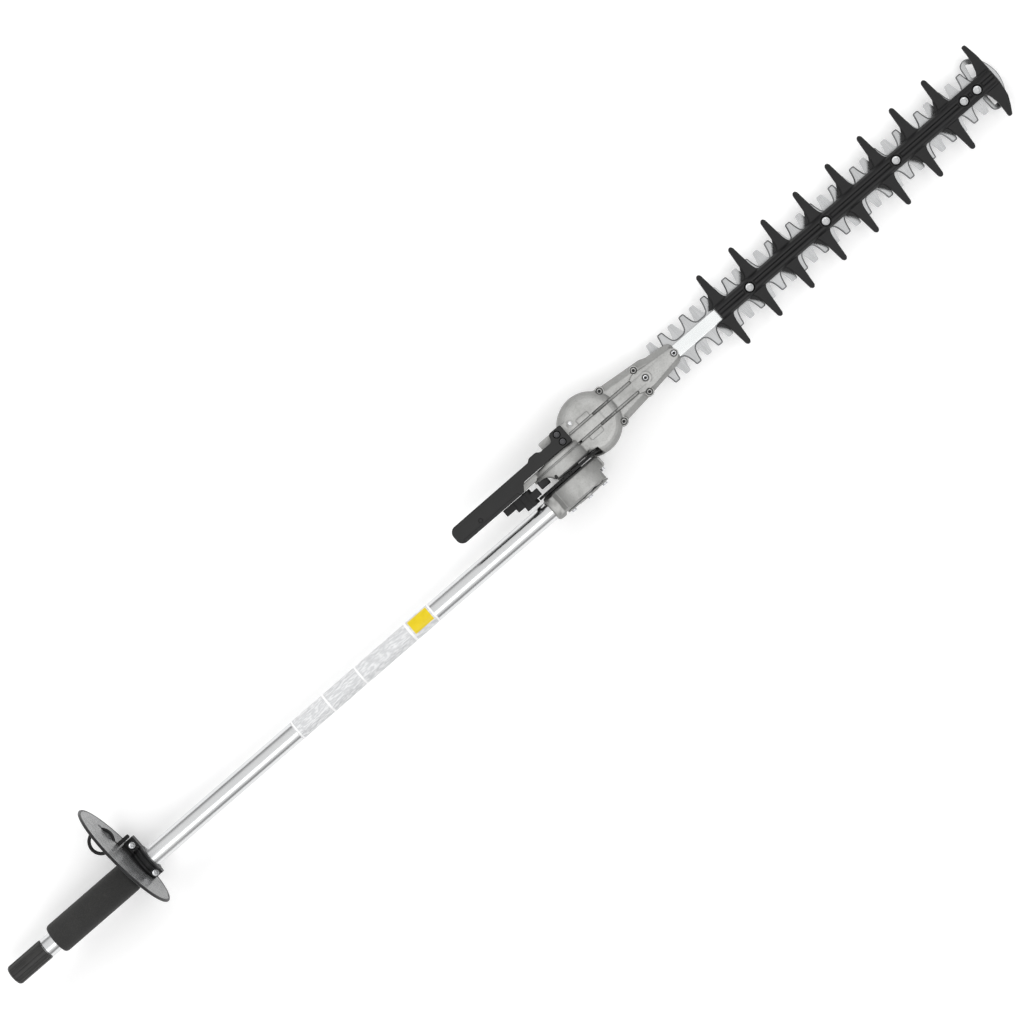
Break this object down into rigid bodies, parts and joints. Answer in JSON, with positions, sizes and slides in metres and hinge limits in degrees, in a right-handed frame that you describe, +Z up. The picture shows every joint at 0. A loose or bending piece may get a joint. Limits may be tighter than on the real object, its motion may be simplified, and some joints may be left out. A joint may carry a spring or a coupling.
{
  "type": "pole hedge trimmer",
  "caption": "Long-reach hedge trimmer: drive pole with grip and round hand guard, tilting gear head with handle and lock lever, and a double-sided reciprocating cutter under a spiked guard.",
  "frame": {"origin": "centre of the flat face of the end cap, on the pole's axis", "axes": "+X along the pole towards the cutter, +Z up out of the blade plane, +Y to the side that carries the head"},
  "size_m": [1.55, 0.1459, 0.146],
  "materials": {
    "rubber": "matt moulded rubber",
    "foam": "matt foam rubber",
    "smoke": "smoky gloss",
    "plastic": "black glass-filled nylon",
    "charcoal": "charcoal powder coat",
    "tube": "drawn and polished",
    "casting": "tumbled die casting",
    "steel": "ground steel",
    "bright": "bright plated steel",
    "gear_steel": "oiled gear steel",
    "polymer": "natural bearing polymer"
  },
  "bodies": {
    "pole": {"pole_tube": "tube", "grip_sleeve": "foam", "guard_disc": "smoke", "hanging_ring": "plastic", "clamp_upper": "plastic", "clamp_lower": "plastic", "clamp_screw_1": "bright", "clamp_screw_2": "bright", "shaft_bush_1": "polymer", "shaft_bush_2": "polymer", "shaft_bush_3": "polymer", "pinion_bearing": "gear_steel", "pole_gear_case": "casting", "gear_cover": "casting", "cover_screw_1": "bright", "cover_screw_2": "bright", "cover_screw_3": "bright", "index_plate": "plastic", "cross_bearing_1": "gear_steel", "cross_bearing_2": "gear_steel"},
    "cap": {"end_cap": "rubber"},
    "drive": {"drive_shaft": "gear_steel", "drive_coupler": "gear_steel", "drive_pinion": "gear_steel"},
    "cross": {"cross_shaft": "gear_steel", "cross_gear_inner": "gear_steel", "cross_gear_outer": "gear_steel"},
    "head": {"head_case_upper": "casting", "head_case_lower": "casting", "case_screw_1": "steel", "case_screw_2": "steel", "case_screw_3": "steel", "case_screw_4": "steel", "handle_bar": "charcoal", "handle_screw_1": "steel", "handle_screw_2": "steel", "head_bearing": "gear_steel", "crank_bearing_upper": "gear_steel", "crank_bearing_lower": "gear_steel", "guide_bar": "bright", "spiked_guard": "plastic", "tip_guard": "bright", "bar_screw_1": "bright", "bar_screw_2": "bright", "bar_screw_3": "bright", "bar_screw_4": "bright", "bar_screw_5": "bright", "nose_screw_1": "steel", "nose_screw_2": "steel", "lever_pin": "steel", "lever_spring": "steel"},
    "lever": {"lock_lever": "plastic"},
    "head_shaft": {"head_gear": "gear_steel", "head_pinion_shaft": "gear_steel"},
    "crank": {"crank_gear": "gear_steel", "crankshaft": "gear_steel"},
    "upper_cutter": {"upper_blade": "steel", "upper_rod": "gear_steel"},
    "lower_cutter": {"lower_blade": "steel", "lower_rod": "gear_steel"}
  },
  "joints": [
    {"name": "cap_pull", "type": "slide", "parent": "pole", "child": "cap", "axis": [-1, 0, 0], "range_m": [0, 0.05]},
    {"name": "drive_spin", "type": "hinge", "parent": "pole", "child": "drive", "pos_m": [0.5, 0, 0], "axis": [1, 0, 0], "continuous": true},
    {"name": "cross_spin", "type": "hinge", "parent": "pole", "child": "cross", "pos_m": [0.866, 0, 0], "axis": [0, 1, 0], "continuous": true},
    {"name": "head_tilt", "type": "hinge", "parent": "pole", "child": "head", "pos_m": [0.866, 0, 0], "axis": [0, 1, 0], "range_deg": [-45, 90]},
    {"name": "lever_squeeze", "type": "hinge", "parent": "head", "child": "lever", "pos_m": [0.812, 0.03, 0.016], "axis": [0, 1, 0], "range_deg": [0, 15], "stiffness_Nm_per_rad": 0.6},
    {"name": "head_shaft_spin", "type": "hinge", "parent": "head", "child": "head_shaft", "pos_m": [0.885, 0.0443, 0], "axis": [1, 0, 0], "continuous": true},
    {"name": "crank_spin", "type": "hinge", "parent": "head", "child": "crank", "pos_m": [0.9205, 0.0443, -0.01], "axis": [0, 0, 1], "continuous": true},
    {"name": "upper_blade_slide", "type": "slide", "parent": "head", "child": "upper_cutter", "axis": [1, 0, 0], "range_m": [-0.008, 0.008]},
    {"name": "lower_blade_slide", "type": "slide", "parent": "head", "child": "lower_cutter", "axis": [1, 0, 0], "range_m": [-0.008, 0.008]}
  ],
  "couplings": [
    {"joint": "drive_spin", "follows": "crank_spin", "ratio": -3},
    {"joint": "cross_spin", "follows": "crank_spin", "ratio": -3},
    {"joint": "head_shaft_spin", "follows": "crank_spin", "ratio": -3},
    {"joint": "lower_blade_slide", "follows": "upper_blade_slide", "ratio": -1}
  ]
}
